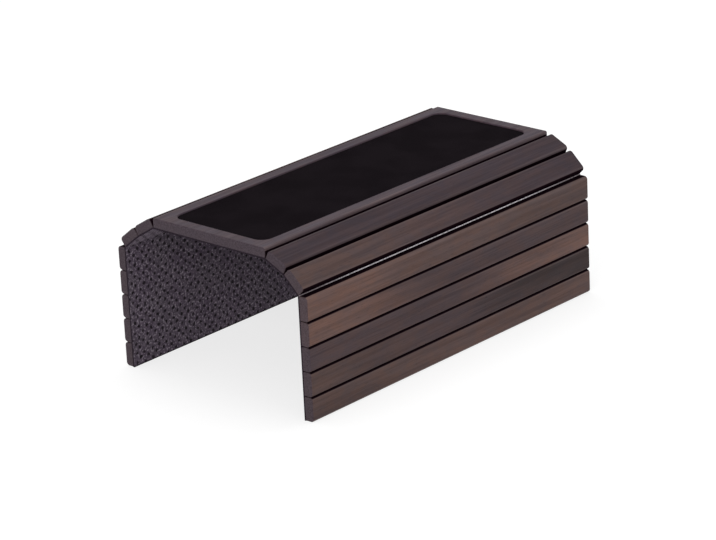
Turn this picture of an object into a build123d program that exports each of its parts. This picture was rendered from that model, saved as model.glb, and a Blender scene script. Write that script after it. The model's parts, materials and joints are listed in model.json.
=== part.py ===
from build123d import *
from math import asin, cos, degrees, radians, sin
import os

# Sofa arm tray: a rigid tray board with seven hinged slats down each side, all on a thin non-slip backing.
# X runs across the sofa arm, Y along the slats, Z up. The lowest slats stand on Z = 0.
os.makedirs("parts", exist_ok=True)

# Overall sizes
length = 358.0
board_width = 125.4
stock_thickness = 8.0

# Slats: the seam is the slit between neighbours when the tray lies flat
slat_count = 7
slat_width = 21.0
seam = 0.4
slat_edge_radius = 3.0
slat_end_chamfer = 0.7

# Backing cloth, glued under the board and the slats. It turns on a round fold at every seam
backing_thickness = 1.5
fold_clearance = 0.3

# Recess in the board and the dark mat that lies in it
rim_width = 11.5
recess_depth = 2.4
recess_corner_radius = 10.0
recess_edge_radius = 1.0
board_edge_radius = 1.5
board_end_radius = 1.0
inlay_thickness = 1.2
inlay_clearance = 0.2
inlay_edge_chamfer = 0.3

# How the tray hangs over the arm: the heading of each slat below the level of the board, in degrees.
# The left side's second slat turns so far that both sides drop alike and the board stays level.
upright = 90.0
right_first_heading = 26.0
right_second_heading = 44.0
left_first_heading = 31.0
right_drop_share = sin(radians(right_first_heading)) + sin(radians(right_second_heading))
left_second_heading = degrees(asin(right_drop_share - sin(radians(left_first_heading))))
sloping = {
    "right": [right_first_heading, right_second_heading],
    "left": [left_first_heading, left_second_heading],
}
side_sign = {"right": 1, "left": -1}

# Derived sizes
pitch = slat_width + seam
fold_radius = backing_thickness / 2
hollow_radius = fold_radius + fold_clearance
upright_count = slat_count - len(sloping["right"])
first_fold_offset = (board_width + seam) / 2
slope_drop = right_drop_share * pitch
fold_height = slope_drop + upright_count * pitch - seam / 2
slope_reach = {
    side: sum(pitch * cos(radians(heading)) for heading in sloping[side]) for side in sloping
}
board_middle = (slope_reach["left"] - slope_reach["right"]) / 2
board_bottom = fold_height + fold_radius
board_top = board_bottom + stock_thickness
recess_length = length - 2 * rim_width
recess_width = board_width - 2 * rim_width
recess_floor = board_top - recess_depth


def slat_plane(side, number):
    """The cross-section plane of one slat: its origin on the fold before the slat, X down the slat, Y outwards."""
    headings = sloping[side] + [upright] * upright_count
    sign = side_sign[side]
    x = board_middle + sign * first_fold_offset
    z = fold_height
    for heading in headings[: number - 1]:
        x += sign * pitch * cos(radians(heading))
        z -= pitch * sin(radians(heading))
    angle = radians(headings[number - 1])
    return Plane(
        origin=(x, 0, z),
        x_dir=(sign * cos(angle), 0, -sin(angle)),
        z_dir=(0, -sign, 0),
    )


# Tray board: one piece with a shallow routed recess, its upper edges eased
with BuildPart() as board:
    with BuildSketch(Plane.XY.offset(board_bottom)):
        with Locations((board_middle, 0)):
            Rectangle(board_width, length)
    extrude(amount=stock_thickness)
    top_edges = board.faces().sort_by(Axis.Z)[-1].edges()
    fillet(top_edges.filter_by(Axis.Y), radius=board_edge_radius)
    end_edges = board.faces().filter_by(Axis.Y).edges()
    fillet(end_edges.filter_by(lambda edge: edge.center().Z > board_bottom + fold_radius), radius=board_end_radius)
    with BuildSketch(Plane.XY.offset(recess_floor)):
        with Locations((board_middle, 0)):
            RectangleRounded(recess_width, recess_length, recess_corner_radius)
    extrude(amount=recess_depth, mode=Mode.SUBTRACT)
    rim_face = board.faces().filter_by(Axis.Z).sort_by(Axis.Z)[-1]
    fillet(rim_face.inner_wires().edges(), radius=recess_edge_radius)
board.part.label = "tray_board"
export_step(board.part, "parts/tray_board.step")

# Dark mat lying in the recess
with BuildPart() as inlay:
    with BuildSketch(Plane.XY.offset(recess_floor)):
        with Locations((board_middle, 0)):
            RectangleRounded(
                recess_width - 2 * inlay_clearance,
                recess_length - 2 * inlay_clearance,
                recess_corner_radius - inlay_clearance,
            )
    extrude(amount=inlay_thickness)
    chamfer(inlay.faces().sort_by(Axis.Z)[-1].edges(), length=inlay_edge_chamfer)
inlay.part.label = "inlay_mat"
export_step(inlay.part, "parts/inlay_mat.step")

# Backing under the board, ending in a round fold along each side
with BuildPart() as backing:
    with BuildSketch(Plane.XZ):
        with Locations((board_middle, fold_height)):
            SlotCenterToCenter(2 * first_fold_offset, backing_thickness)
    extrude(amount=length / 2, both=True)
backing.part.label = "board_backing"
export_step(backing.part, "parts/board_backing.step")

# Slats, with their outer edges rounded, their ends chamfered and their backs flat, and the backing under each
for side in sloping:
    for number in range(1, slat_count + 1):
        plane = slat_plane(side, number)
        last = number == slat_count
        with BuildPart() as slat:
            with BuildSketch(plane):
                with Locations((seam / 2, fold_radius)):
                    Rectangle(slat_width, stock_thickness, align=(Align.MIN, Align.MIN))
                fillet(vertices().sort_by(Axis.Y)[-2:], radius=slat_edge_radius)
            extrude(amount=length / 2, both=True)
            back_edges = slat.faces().sort_by(lambda face: (face.center() - plane.origin).dot(plane.y_dir))[0].edges()
            rims = slat.faces().filter_by(Axis.Y).edges()
            chamfer([edge for edge in rims if edge not in back_edges], length=slat_end_chamfer)
        slat.part.label = f"{side}_slat_{number}"
        export_step(slat.part, f"parts/{side}_slat_{number}.step")

        with BuildPart() as strip:
            with BuildSketch(plane):
                strip_length = slat_width + seam / 2 if last else pitch
                Rectangle(strip_length, backing_thickness, align=(Align.MIN, Align.CENTER))
                Circle(hollow_radius, mode=Mode.SUBTRACT)
                if not last:
                    with Locations((pitch, 0)):
                        Circle(fold_radius)
            extrude(amount=length / 2, both=True)
        strip.part.label = f"{side}_backing_{number}"
        export_step(strip.part, f"parts/{side}_backing_{number}.step")
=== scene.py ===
import json
from math import cos, radians, sin

import bmesh
import bpy
from mathutils import Matrix, Vector


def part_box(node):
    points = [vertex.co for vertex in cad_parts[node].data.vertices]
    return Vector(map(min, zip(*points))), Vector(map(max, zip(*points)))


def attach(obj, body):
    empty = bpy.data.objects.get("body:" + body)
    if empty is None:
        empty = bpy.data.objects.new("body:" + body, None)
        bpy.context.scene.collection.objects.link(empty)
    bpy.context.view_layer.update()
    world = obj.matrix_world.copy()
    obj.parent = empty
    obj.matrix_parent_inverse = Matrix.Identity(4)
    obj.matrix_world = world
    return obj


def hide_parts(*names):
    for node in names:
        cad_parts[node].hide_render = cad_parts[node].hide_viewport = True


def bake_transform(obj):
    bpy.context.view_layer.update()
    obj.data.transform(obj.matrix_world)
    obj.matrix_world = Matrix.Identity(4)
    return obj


# Sofa arm tray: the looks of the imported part. Metres; X runs across the sofa arm, Y along the slats, Z up
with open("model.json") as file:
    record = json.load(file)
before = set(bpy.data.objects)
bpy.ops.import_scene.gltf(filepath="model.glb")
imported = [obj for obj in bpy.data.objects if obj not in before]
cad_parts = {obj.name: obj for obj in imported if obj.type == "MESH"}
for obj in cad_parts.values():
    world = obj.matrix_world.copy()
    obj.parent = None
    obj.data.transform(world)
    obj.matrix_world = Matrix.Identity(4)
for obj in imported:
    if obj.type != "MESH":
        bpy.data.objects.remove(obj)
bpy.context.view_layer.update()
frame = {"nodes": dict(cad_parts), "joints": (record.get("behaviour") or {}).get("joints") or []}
nodes = frame["nodes"]
joints = {joint["name"]: joint for joint in frame["joints"]}

# Sizes that the backing cloth and the slats share with the part's source
sides = {"right": 1, "left": -1}
slat_count = 7
first_upright = 3
pitch = 0.0214
slat_width = 0.0210
stock_thickness = 0.008
seam = 0.0004
cloth_thickness = 0.0015

# The cloth's mesh: how far its round bend reaches from the fold, and how finely it is divided
fold_reach = 0.0012
fold_segments = 8
rows_along = 12
sharp_corner = radians(40)

# Bends at which the painted highlight along the ridge of the glued side starts to show and is full
slack_fold = radians(30)
tight_fold = radians(44)

# How deep below its face a long edge of the wood is painted black as shade in its groove: none of it where
# that is past its thickness
slat_shade_below = 0.0006
open_gap_shade_below = 0.0022
free_edge_shade_below = 0.0100
board_shade_below = 0.0026
upper_edges = {first_upright: open_gap_shade_below}
lower_edges = {1: open_gap_shade_below, slat_count: free_edge_shade_below}

# Where a finish fades in beside a limit: how far short of the limit the fade starts, and how far short of it
# the fade is full. A distance below 0 lies past the limit
rubbed_fade = (0.0030, 0.0008)
end_grain_fade = (0.0009, 0.0004)
groove_wall_fade = (0.0014, 0.0007)
groove_depth_fade = (-0.0003, 0.0004)
groove_end_fade = (0.0002, 0.0012)
# The painted shadow along the cloth's lowest edge
foot_shade_fade = (0.0013, 0.0005)

# How far from the middle of the tray's length the painted highlight along the ridge starts to dull and is
# dull
ridge_highlight_dulls = (0.10, 0.165)

# Round dimples of the cloth: their spacing, and how far they stray from straight rows
dimple_cell = 0.00646
dimple_wander = 0.0032
dimple_randomness = 0.22

# How strongly each surface mirrors, and how rough the cut edge of the cloth is
wood_mirror = 0.14
mat_mirror = 0.02
cloth_mirror = 0.1
cut_mirror = 0.05
cut_roughness = 0.9

# Light and floor
ambient_level = 0.70
backdrop_level = 1.0
floor_shade = 0.35
floor_glow = 0.70
bounce_shade = 0.8
floor_half_width = 12.0
floor_squares = 4
tray_centre = Vector((0, 0, 0.07))
lamps = {
    "overhead_lamp": ((-0.5, 0.3, 2.2), 1.6, 12),
    "camera_side_lamp": ((1.3, -2.7, 1.4), 2.0, 42),
    "far_side_lamp": ((1.3, 2.6, 0.8), 1.2, 15),
}

# Where the photograph was taken from
camera_azimuth = radians(42.788)
camera_elevation = radians(20.396)
camera_roll = radians(-2.819)
camera_position = Vector((1.8061, -1.9540, 1.0421))
camera_lens = 167.85
sensor_width = 36

# Colours as they look in the photograph, in sRGB from 0 to 255: stains, then grooves and edges, with painted
# shade and a painted highlight, mat and cloth
plum = (53, 41, 46)
ebony = (44, 33, 33)
cocoa = (67, 53, 54)
umber = (76, 60, 57)
russet = (84, 66, 62)
walnut = (98, 75, 68)
board_stain = (63, 51, 58)
# Black painted as shade in the grooves between parts, also mixed into the black of the cloth's glued side
groove_shade_black = (19, 8, 14)
end_dark = (51, 42, 48)
end_light = (70, 60, 67)
rubbed_edge = (118, 102, 100)
glue_black = (12, 7, 13)
# Painted highlight along the ridge of a sharp fold: dull towards the tray's ends, pale in the middle
ridge_highlight_dull = (150, 138, 142)
ridge_highlight_pale = (240, 232, 238)
mat_black = (13, 8, 12)
mat_dusty = (18, 13, 17)
cloth_grey = (90, 81, 91)
cloth_plum = (87, 76, 89)
cloth_cut_dark = (26, 19, 26)
cloth_cut_light = (52, 44, 52)
cloth_crease_highlight = (132, 120, 132)
cloth_hollow_and_shade = (17, 11, 17)
hollow_worn = (40, 33, 40)
fleck_pale = (196, 184, 196)

# Tints that multiply a stain or the colour of the cloth
brown_tint = (1.07, 1.00, 0.96)
violet_tint = (0.94, 0.97, 1.04)
light_tint = (1.12, 1.11, 1.10)
dark_tint = (0.84, 0.84, 0.85)
pore_tint = (0.70, 0.69, 0.70)
shaded_tint = (0.62, 0.61, 0.63)

# The stain of each slat at its near end, in its middle and at its far end, from the board down
slat_stains = {
    "right": [
        (plum, plum, plum),
        (umber, cocoa, plum),
        (walnut, russet, umber),
        (walnut, cocoa, cocoa),
        (cocoa, cocoa, walnut),
        (umber, cocoa, ebony),
        (umber, russet, russet),
    ],
    "left": [
        (plum, umber, cocoa),
        (cocoa, plum, umber),
        (plum, cocoa, umber),
        (umber, ebony, walnut),
        (cocoa, russet, plum),
        (plum, cocoa, russet),
        (cocoa, umber, plum),
    ],
}


def fold_points(side):
    """The hinge axis before each slat, from the board down, and a last point one pitch past the lowest."""
    points = [Vector(joints[f"{side}_fold_{number}"]["pos_m"]) for number in range(1, slat_count + 1)]
    return points + [points[-1] + (points[-1] - points[-2])]


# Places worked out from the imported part
cloth_low, cloth_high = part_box("board_backing")
half_length = (cloth_high.y - cloth_low.y) / 2
board_low, board_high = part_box("tray_board")
first_fold = {side: fold_points(side)[0] for side in sides}
board_middle = (first_fold["right"] + first_fold["left"]) / 2
first_offset = (first_fold["right"] - first_fold["left"]).length / 2
cloth_reach = first_offset + slat_count * pitch - seam / 2

# The part of the cloth over the folds of the sloping slats, pale with creases and with painted light from the
# floor
# below: where it fades in and where it ends
upright_offset = first_offset + (first_upright - 1) * pitch
creases_start = (first_offset - 0.006, first_offset + 0.004)
creases_stop = (upright_offset + 0.002, upright_offset - 0.006)


# Materials
def linear(colour):
    """An sRGB colour from 0 to 255 as the linear colour that a shader takes."""
    channels = [channel / 255 for channel in colour]
    return [c / 12.92 if c <= 0.04045 else ((c + 0.055) / 1.055) ** 2.4 for c in channels] + [1.0]


def grey(level):
    """A linear grey as a shader takes it."""
    return (level, level, level, 1)


class Recipe:
    """The nodes of a material or a world, with short calls for the ones that these finishes share."""

    def __init__(self, owner):
        owner.use_nodes = True
        self.owner = owner
        self.nodes = owner.node_tree.nodes
        self.links = owner.node_tree.links

    def feed(self, socket, value):
        """Gives a socket a number, a colour, a vector or another node's output."""
        if isinstance(value, bpy.types.NodeSocket):
            self.links.new(value, socket)
        else:
            socket.default_value = value

    def add(self, kind, inputs=None, **settings):
        """A new node with its settings, and with values for the inputs that are named."""
        node = self.nodes.new(kind)
        for key, value in settings.items():
            setattr(node, key, value)
        for name, value in (inputs or {}).items():
            self.feed(node.inputs[name], value)
        return node

    def object_place(self):
        """A point's place in the object's own coordinates."""
        return self.add("ShaderNodeTexCoord").outputs["Object"]

    def flat_place(self):
        """A point's place in the cloth laid flat."""
        return self.add("ShaderNodeUVMap", uv_map="cloth").outputs["UV"]

    def coordinate(self, place, axis):
        return self.add("ShaderNodeSeparateXYZ", {"Vector": place}).outputs[axis]

    def mapped(self, place, stretch=(1, 1, 1), turn=(0, 0, 0)):
        """Coordinates stretched and turned."""
        inputs = {"Vector": place, "Scale": stretch, "Rotation": turn}
        return self.add("ShaderNodeMapping", inputs).outputs["Vector"]

    def noise(self, place, scale, detail, roughness=0.5, stretch=None, output="Fac"):
        if stretch is not None:
            place = self.mapped(place, stretch)
        inputs = {"Vector": place, "Scale": scale, "Detail": detail, "Roughness": roughness}
        return self.add("ShaderNodeTexNoise", inputs).outputs[output]

    def span(self, source, low, high, to_low=0.0, to_high=1.0, smooth=True):
        """A value carried from one span to another, and held at the ends."""
        inputs = {"Value": source, "From Min": low, "From Max": high, "To Min": to_low, "To Max": to_high}
        interpolation = "SMOOTHSTEP" if smooth else "LINEAR"
        return self.add("ShaderNodeMapRange", inputs, interpolation_type=interpolation).outputs["Result"]

    def beside(self, source, limit, fade, most=1.0):
        """Nothing where a fade starts, short of a limit, and the most where the fade is full."""
        start, full = fade
        return self.span(source, limit - start, limit - full, 0.0, most)

    def maths(self, operation, *values):
        return self.add("ShaderNodeMath", dict(enumerate(values)), operation=operation).outputs["Value"]

    def distance(self, place, start, direction):
        """How far a place lies from a start point along a direction."""
        node = self.add("ShaderNodeVectorMath", {0: place, 1: direction}, operation="DOT_PRODUCT")
        return self.maths("SUBTRACT", node.outputs["Value"], start.dot(direction))

    def mix(self, factor, first, second, blend="MIX"):
        """Two colours mixed by a factor."""
        node = self.add("ShaderNodeMix", data_type="RGBA", blend_type=blend)
        colours = [socket for socket in node.inputs if socket.type == "RGBA"]
        for socket, value in zip((node.inputs["Factor"], *colours), (factor, first, second)):
            self.feed(socket, value)
        return next(socket for socket in node.outputs if socket.type == "RGBA")

    def tinted(self, colour, tint):
        """A colour multiplied by a tint."""
        return self.mix(1.0, colour, (*tint, 1), blend="MULTIPLY")

    def bump(self, height, distance, strength, under=None):
        inputs = {"Height": height, "Distance": distance, "Strength": strength}
        if under is not None:
            inputs["Normal"] = under
        return self.add("ShaderNodeBump", inputs).outputs["Normal"]

    def mix_shaders(self, factor, first, second):
        """The first shader at a factor of 0 and the second at 1."""
        return self.add("ShaderNodeMixShader", {0: factor, 1: first, 2: second}).outputs["Shader"]

    def seen_directly(self):
        """1 for a ray that shows the background: from the camera, mirrored or through something clear."""
        rays = self.add("ShaderNodeLightPath").outputs
        seen = self.maths("MAXIMUM", rays["Is Camera Ray"], rays["Is Glossy Ray"])
        return self.maths("MAXIMUM", seen, rays["Is Transmission Ray"])

    def surfaced(self, colour, roughness, mirror, normal):
        """The material, with its shader fed."""
        inputs = self.nodes["Principled BSDF"].inputs
        self.feed(inputs["Base Color"], colour)
        self.feed(inputs["Roughness"], roughness)
        self.feed(inputs["Specular IOR Level"], mirror)
        self.feed(inputs["Normal"], normal)
        return self.owner


def stained_wood(name, stains, middle, across, outwards, half_width, shade_below, wear):
    """Dark stained wood with its grain along Y, in the tones of its near end, its middle and its far end.
    middle is a point on its back, across points over its width and outwards away from its back. Its two long
    edges are worn pale, and painted black as shade in the grooves below a depth of their own: first the edge
    behind, then the edge ahead."""
    recipe = Recipe(bpy.data.materials.new(name))
    place = recipe.object_place()
    lengthwise = recipe.coordinate(place, "Y")
    from_middle = recipe.maths("ABSOLUTE", lengthwise)
    offset = recipe.distance(place, middle, across)
    height = recipe.distance(place, middle, outwards)

    patches = recipe.noise(place, scale=42, detail=2, stretch=(1, 0.25, 1))
    blotch = recipe.noise(place, scale=120, detail=4, roughness=0.6, stretch=(1, 0.4, 1))
    grain = recipe.noise(place, scale=800, detail=4, roughness=0.6, stretch=(1, 0.02, 1))
    streaks = recipe.noise(place, scale=240, detail=3, stretch=(1, 0.03, 1))
    pores = recipe.noise(place, scale=2400, detail=2, stretch=(1, 0.06, 1))

    along = recipe.span(lengthwise, -half_length, half_length, smooth=False)
    drift = recipe.maths("ADD", along, recipe.span(patches, 0.3, 0.7, -0.08, 0.08))
    near, centre, far = [linear(stain) for stain in stains]
    stain = recipe.mix(recipe.span(drift, 0.05, 0.5), near, centre)
    stain = recipe.mix(recipe.span(drift, 0.5, 0.95), stain, far)
    violet = recipe.tinted(stain, violet_tint)
    brown = recipe.tinted(stain, brown_tint)
    stain = recipe.mix(recipe.span(blotch, 0.38, 0.62), violet, brown)
    dark = recipe.tinted(stain, dark_tint)
    light = recipe.tinted(stain, light_tint)
    fibre = recipe.maths("ADD", recipe.maths("MULTIPLY", grain, 0.5), recipe.maths("MULTIPLY", streaks, 0.5))
    wood = recipe.mix(recipe.span(fibre, 0.38, 0.62), dark, light)
    pore = recipe.span(pores, 0.30, 0.40)
    wood = recipe.mix(pore, recipe.tinted(wood, pore_tint), wood)

    outer_edge = recipe.beside(recipe.maths("ABSOLUTE", offset), half_width, rubbed_fade)
    rubbed = recipe.maths("MULTIPLY", outer_edge, recipe.span(streaks, 0.35, 0.65, 0.5 * wear, wear))
    wood = recipe.mix(rubbed, wood, linear(rubbed_edge))
    end_grain = recipe.mix(recipe.span(grain, 0.35, 0.65), linear(end_dark), linear(end_light))
    wood = recipe.mix(recipe.beside(from_middle, half_length, end_grain_fade, most=0.85), wood, end_grain)

    # Painted shade: below a depth, the walls of the gaps between the slats and the board turn black and
    # mirror nothing
    walls = []
    for sign, depth in zip((-1, 1), shade_below):
        wall = recipe.beside(recipe.maths("MULTIPLY", offset, sign), half_width, groove_wall_fade)
        deep = recipe.beside(height, stock_thickness - depth, groove_depth_fade)
        walls.append(recipe.maths("MULTIPLY", wall, deep))
    inside = recipe.beside(from_middle, half_length, groove_end_fade)
    groove_shade = recipe.maths("MULTIPLY", recipe.maths("MAXIMUM", *walls), inside)
    wood = recipe.mix(groove_shade, wood, linear(groove_shade_black))

    roughness = recipe.span(fibre, 0.35, 0.65, 0.62, 0.50)
    mirror = recipe.span(groove_shade, 0.0, 1.0, wood_mirror, 0.0)
    relief = recipe.bump(grain, distance=0.0001, strength=0.4)
    relief = recipe.bump(pore, distance=0.0001, strength=0.4, under=relief)
    return recipe.surfaced(wood, roughness, mirror, relief)


def rubber_mat(name):
    """Matt black mat with a fine pebbled surface."""
    recipe = Recipe(bpy.data.materials.new(name))
    place = recipe.object_place()
    pebble = recipe.noise(place, scale=1500, detail=2)
    cloud = recipe.noise(place, scale=30, detail=2)
    shade = recipe.mix(recipe.span(cloud, 0.35, 0.65), linear(mat_black), linear(mat_dusty))
    roughness = recipe.span(pebble, 0.3, 0.7, 0.85, 1.0)
    relief = recipe.bump(pebble, distance=0.0002, strength=0.6)
    return recipe.surfaced(shade, roughness, mat_mirror, relief)


def dimpled_cloth(name):
    """Non-slip cloth with staggered round dimples and pale flecks, with creases and painted light where the
    sides slope, and with a painted shadow along its lowest edge.
    """
    recipe = Recipe(bpy.data.materials.new(name))
    flat = recipe.flat_place()
    from_board_middle = recipe.maths("ABSOLUTE", recipe.coordinate(flat, "X"))
    stitch = recipe.noise(flat, scale=540, detail=1)
    mottle = recipe.noise(flat, scale=260, detail=3, roughness=0.6)
    hue = recipe.noise(flat, scale=40, detail=1)
    crease = recipe.noise(flat, scale=420, detail=2, stretch=(0.3, 1, 1))

    wander = recipe.noise(flat, scale=300, detail=2, output="Color")
    strayed = {0: wander, 1: (dimple_wander, dimple_wander, 0), 2: flat}
    loose = recipe.add("ShaderNodeVectorMath", strayed, operation="MULTIPLY_ADD").outputs["Vector"]
    cells = {
        "Vector": recipe.mapped(loose, turn=(0, 0, radians(45))),
        "Scale": 1 / dimple_cell,
        "Randomness": dimple_randomness,
    }
    dimples = recipe.add("ShaderNodeTexVoronoi", cells, voronoi_dimensions="2D", feature="F1")
    round_edge = recipe.span(dimples.outputs["Distance"], 0.15, 0.29)

    ground = recipe.mix(recipe.span(hue, 0.3, 0.7), linear(cloth_grey), linear(cloth_plum))
    shaded = recipe.tinted(ground, shaded_tint)
    ground = recipe.mix(recipe.span(mottle, 0.36, 0.64), shaded, ground)
    ground = recipe.mix(recipe.span(stitch, 0.52, 0.70, 0.0, 0.38), ground, linear(fleck_pale))
    # Creases and painted light: the cloth over the sloping slats' folds turns pale in streaks
    begun, ended = [recipe.span(from_board_middle, *limits) for limits in (creases_start, creases_stop)]
    bend = recipe.maths("MULTIPLY", begun, ended)
    crease_highlight = recipe.maths("MULTIPLY", bend, recipe.span(crease, 0.4, 0.62, 0.15, 0.8))
    ground = recipe.mix(crease_highlight, ground, linear(cloth_crease_highlight))
    hollow = recipe.mix(recipe.span(mottle, 0.4, 0.6), linear(cloth_hollow_and_shade), linear(hollow_worn))
    cloth = recipe.mix(round_edge, hollow, ground)
    # Painted shadow: a dark line along the cloth's lowest edge, in the dark of the dimples' hollows
    cloth = recipe.mix(recipe.beside(from_board_middle, cloth_reach, foot_shade_fade), cloth, linear(cloth_hollow_and_shade))

    roughness = recipe.span(stitch, 0.3, 0.7, 0.72, 0.9)
    relief = recipe.bump(round_edge, distance=0.0005, strength=0.7)
    relief = recipe.bump(stitch, distance=0.0002, strength=0.6, under=relief)
    return recipe.surfaced(cloth, roughness, cloth_mirror, relief)


def glued_cloth(name):
    """The side of the cloth that is glued to the wood: black, with a painted highlight along the ridge where
    it folds sharply.
    """
    recipe = Recipe(bpy.data.materials.new(name))
    flat = recipe.flat_place()
    from_middle = recipe.maths("ABSOLUTE", recipe.coordinate(flat, "Y"))
    # The attribute named stretch holds how strongly the painted highlight shows, from how sharply the cloth
    # folds there
    highlight_weight = recipe.add("ShaderNodeAttribute", attribute_name="stretch").outputs["Fac"]
    weave = recipe.noise(flat, scale=1300, detail=3, roughness=0.7)
    beads = recipe.noise(flat, scale=700, detail=1, stretch=(0.25, 1, 1))
    ridge = recipe.maths("MULTIPLY", recipe.span(highlight_weight, 0.40, 0.80), recipe.span(beads, 0.3, 0.6, 0.5, 1.0))
    pale = recipe.mix(recipe.span(from_middle, *ridge_highlight_dulls), linear(ridge_highlight_pale), linear(ridge_highlight_dull))
    # Black of the glued side, mixed from glue black and the black of the painted shade in the grooves, as it
    # shows only deep in the gaps
    black = recipe.mix(recipe.span(weave, 0.35, 0.65), linear(groove_shade_black), linear(glue_black))
    roughness = recipe.span(weave, 0.3, 0.7, 0.8, 0.95)
    relief = recipe.bump(weave, distance=0.0001, strength=0.5)
    return recipe.surfaced(recipe.mix(ridge, black, pale), roughness, cut_mirror, relief)


def cut_cloth(name):
    """The cut edge of the cloth: dark foam between two skins, with loose fibres."""
    recipe = Recipe(bpy.data.materials.new(name))
    fibre = recipe.noise(recipe.object_place(), scale=2400, detail=3, roughness=0.7)
    shade = recipe.mix(recipe.span(fibre, 0.35, 0.7), linear(cloth_cut_dark), linear(cloth_cut_light))
    relief = recipe.bump(fibre, distance=0.0002, strength=0.6)
    return recipe.surfaced(shade, cut_roughness, cut_mirror, relief)


def white_floor(name):
    """Floor that is white to the camera, and pale to the light that bounces off it."""
    recipe = Recipe(bpy.data.materials.new(name))
    recipe.nodes.clear()
    lit = recipe.add("ShaderNodeBsdfDiffuse", {"Color": grey(floor_shade)}).outputs["BSDF"]
    glow = recipe.add("ShaderNodeEmission", {"Color": grey(1), "Strength": floor_glow}).outputs["Emission"]
    shown = recipe.add("ShaderNodeAddShader", {0: lit, 1: glow}).outputs["Shader"]
    pale = recipe.add("ShaderNodeBsdfDiffuse", {"Color": grey(bounce_shade)}).outputs["BSDF"]
    surface = recipe.mix_shaders(recipe.seen_directly(), pale, shown)
    recipe.add("ShaderNodeOutputMaterial", {"Surface": surface})
    return recipe.owner


def white_world(name):
    """Even light all round, and a white backdrop."""
    recipe = Recipe(bpy.data.worlds.new(name))
    recipe.nodes.clear()
    ambient, backdrop = [
        recipe.add("ShaderNodeBackground", {"Color": grey(1), "Strength": level}).outputs["Background"]
        for level in (ambient_level, backdrop_level)
    ]
    surface = recipe.mix_shaders(recipe.seen_directly(), ambient, backdrop)
    recipe.add("ShaderNodeOutputWorld", {"Surface": surface})
    return recipe.owner


def dress(obj, material):
    """Puts one material on an object, in place of what it had."""
    obj.data.materials.clear()
    obj.data.materials.append(material)


def into_scene(name, data):
    """A new object in the scene."""
    obj = bpy.data.objects.new(name, data)
    bpy.context.scene.collection.objects.link(obj)
    return obj


# Wood and mat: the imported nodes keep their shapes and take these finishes
board_wood = stained_wood(
    "board_wood",
    [board_stain] * 3,
    middle=Vector(((board_low.x + board_high.x) / 2, 0, board_low.z)),
    across=Vector((1, 0, 0)),
    outwards=Vector((0, 0, 1)),
    half_width=(board_high.x - board_low.x) / 2,
    shade_below=[board_shade_below] * 2,
    wear=0.35,
)
dress(nodes["tray_board"], board_wood)
dress(nodes["inlay_mat"], rubber_mat("mat_rubber"))
for side, sign in sides.items():
    points = fold_points(side)
    for number, stains in enumerate(slat_stains[side], 1):
        above, below = points[number - 1 : number + 1]
        down = (below - above).normalized()
        outwards = sign * down.cross(Vector((0, 1, 0)))
        wood = stained_wood(
            f"{side}_slat_wood_{number}",
            stains,
            middle=(above + below) / 2 + outwards * cloth_thickness / 2,
            across=down,
            outwards=outwards,
            half_width=slat_width / 2,
            shade_below=[edges.get(number, slat_shade_below) for edges in (upper_edges, lower_edges)],
            wear=0.2,
        )
        dress(nodes[f"{side}_slat_{number}"], wood)

# Backing cloth: one strip over each fold, from the middle of one slat to the middle of the next
underside = dimpled_cloth("backing_underside")
cut_edge = cut_cloth("backing_cut_edge")
glued_side = glued_cloth("backing_glued_side")


def lay_flat(bm, corner, before, after, from_board, sign, bend_highlight):
    """Gives each vertex its place in the flat cloth as a UV map, and how strongly the painted highlight along
    the fold shows there.
    """
    flat = bm.loops.layers.uv.new("cloth")
    stretch = bm.verts.layers.float.new("stretch")
    for vert in bm.verts:
        away = vert.co - corner
        past = min(away.dot(before), 0) + max(away.dot(after), 0)
        vert[stretch] = bend_highlight * max(0, 1 - abs(past) / fold_reach)
        for loop in vert.link_loops:
            loop[flat].uv = (sign * (from_board + past), vert.co.y)


def thicken(obj):
    """Gives a sheet the cloth's thickness, half to each side, with the glued side's material outwards."""
    shell = obj.modifiers.new("thickness", "SOLIDIFY")
    shell.thickness = cloth_thickness
    shell.offset = 0
    shell.use_even_offset = True
    shell.material_offset = 1
    shell.material_offset_rim = 2
    depsgraph = bpy.context.evaluated_depsgraph_get()
    obj.data = bpy.data.meshes.new_from_object(obj.evaluated_get(depsgraph))
    obj.modifiers.clear()
    bm = bmesh.new()
    bm.from_mesh(obj.data)
    for edge in bm.edges:
        edge.smooth = edge.calc_face_angle(0) < sharp_corner
    for face in bm.faces:
        face.smooth = True
    bm.to_mesh(obj.data)
    bm.free()


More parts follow.
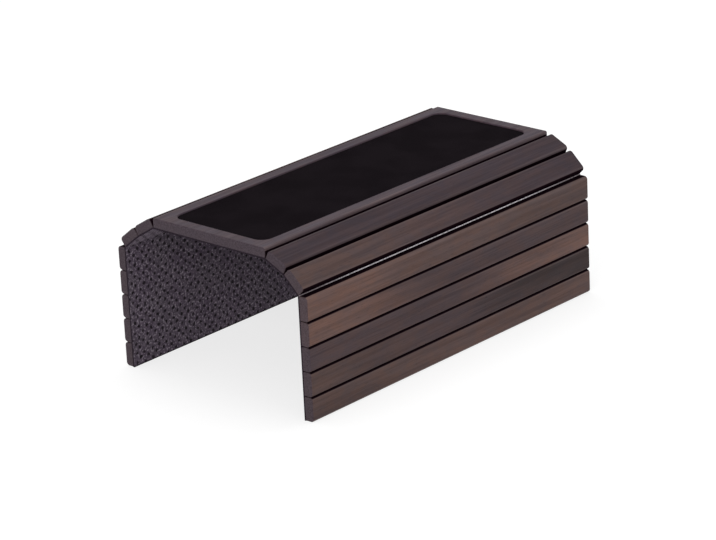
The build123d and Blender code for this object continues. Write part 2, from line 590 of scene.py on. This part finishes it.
def cloth_strip(name, start, corner, end, from_board=0.0, sign=1):
    """A strip of the cloth over the fold at the corner, with its seams in the middle of two slats."""
    before = (corner - start).normalized()
    after = (end - corner).normalized()
    bm = bmesh.new()
    line = [bm.verts.new((point.x, -half_length, point.z)) for point in (start, corner, end)]
    edges = [bm.edges.new(pair) for pair in zip(line, line[1:])]
    swept = bmesh.ops.extrude_edge_only(bm, edges=edges)["geom"]
    far_end = [item for item in swept if isinstance(item, bmesh.types.BMVert)]
    bmesh.ops.translate(bm, verts=far_end, vec=(0, 2 * half_length, 0))
    crease = [edge for edge in bm.edges if len(edge.link_faces) == 2]
    bmesh.ops.bevel(
        bm,
        geom=crease,
        offset=fold_reach,
        segments=fold_segments,
        affect="EDGES",
        profile=0.5,
        material=-1,
    )
    lengthwise = [edge for edge in bm.edges if abs(edge.verts[0].co.y - edge.verts[1].co.y) > half_length]
    bmesh.ops.subdivide_edges(bm, edges=lengthwise, cuts=rows_along - 1, use_grid_fill=True)
    bmesh.ops.recalc_face_normals(bm, faces=bm.faces)
    outwards = sign * before.cross(Vector((0, 1, 0)))
    bm.faces.ensure_lookup_table()
    if bm.faces[0].normal.dot(outwards) < 0:
        bmesh.ops.reverse_faces(bm, faces=bm.faces)
    # How strongly the painted highlight along this fold shows, from how sharply it bends
    bend_highlight = (before.angle(after) - slack_fold) / (tight_fold - slack_fold)
    lay_flat(bm, corner, before, after, from_board, sign, min(1, max(0, bend_highlight)))
    mesh = bpy.data.meshes.new(name)
    bm.to_mesh(mesh)
    bm.free()
    for material in (glued_side, underside, cut_edge):
        mesh.materials.append(material)
    obj = into_scene(name, mesh)
    thicken(obj)
    width = (corner - start).length + (end - corner).length
    return obj, width


half_centre = Vector((first_offset - pitch / 2, 0, 0))
centre_ends = (board_middle - half_centre, board_middle, board_middle + half_centre)
centre_strip, width = cloth_strip("backing_centre", *centre_ends)
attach(centre_strip, "tray")
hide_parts("board_backing")

for side, sign in sides.items():
    points = [board_middle] + fold_points(side)
    for number in range(1, slat_count + 1):
        previous, corner, following = points[number - 1 : number + 2]
        before = (corner - previous).normalized()
        after = (following - corner).normalized()
        last = number == slat_count
        start = corner - before * pitch / 2
        end = corner + after * (slat_width + seam / 2 if last else pitch / 2)
        from_board = first_offset + (number - 1) * pitch
        strip, width = cloth_strip(f"{side}_cloth_{number}", start, corner, end, from_board, sign)
        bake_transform(strip)
        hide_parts(f"{side}_backing_{number}")
        above = "tray_board" if number == 1 else f"{side}_slat_{number - 1}"

# Floor and backdrop
bm = bmesh.new()
bmesh.ops.create_grid(bm, x_segments=floor_squares, y_segments=floor_squares, size=floor_half_width)
floor_mesh = bpy.data.meshes.new("floor")
bm.to_mesh(floor_mesh)
bm.free()
floor = into_scene("floor", floor_mesh)
dress(floor, white_floor("floor_white"))
bpy.context.scene.world = white_world("studio")

# Soft lamps, each aimed at the tray
for name, (position, size, watts) in lamps.items():
    data = bpy.data.lights.new(name, "AREA")
    data.shape = "DISK"
    data.size = size
    data.energy = watts
    lamp = into_scene(name, data)
    lamp.location = position
    lamp.rotation_euler = (Vector(position) - tray_centre).to_track_quat("Z", "Y").to_euler()

# Camera at the photograph's place, with its slight roll
view_line = Vector(
    (
        -sin(camera_azimuth) * cos(camera_elevation),
        cos(camera_azimuth) * cos(camera_elevation),
        -sin(camera_elevation),
    )
)
level_right = Vector((cos(camera_azimuth), sin(camera_azimuth), 0))
level_up = level_right.cross(view_line)
right = level_right * cos(camera_roll) + level_up * sin(camera_roll)
up = level_up * cos(camera_roll) - level_right * sin(camera_roll)
turn = Matrix((right, up, -view_line)).transposed().to_4x4()
camera_data = bpy.data.cameras.new("camera")
camera_data.lens = camera_lens
camera_data.sensor_width = sensor_width
camera = into_scene("camera", camera_data)
camera.matrix_world = Matrix.Translation(camera_position) @ turn
bpy.context.scene.camera = camera
bpy.context.scene.view_settings.view_transform = "Standard"
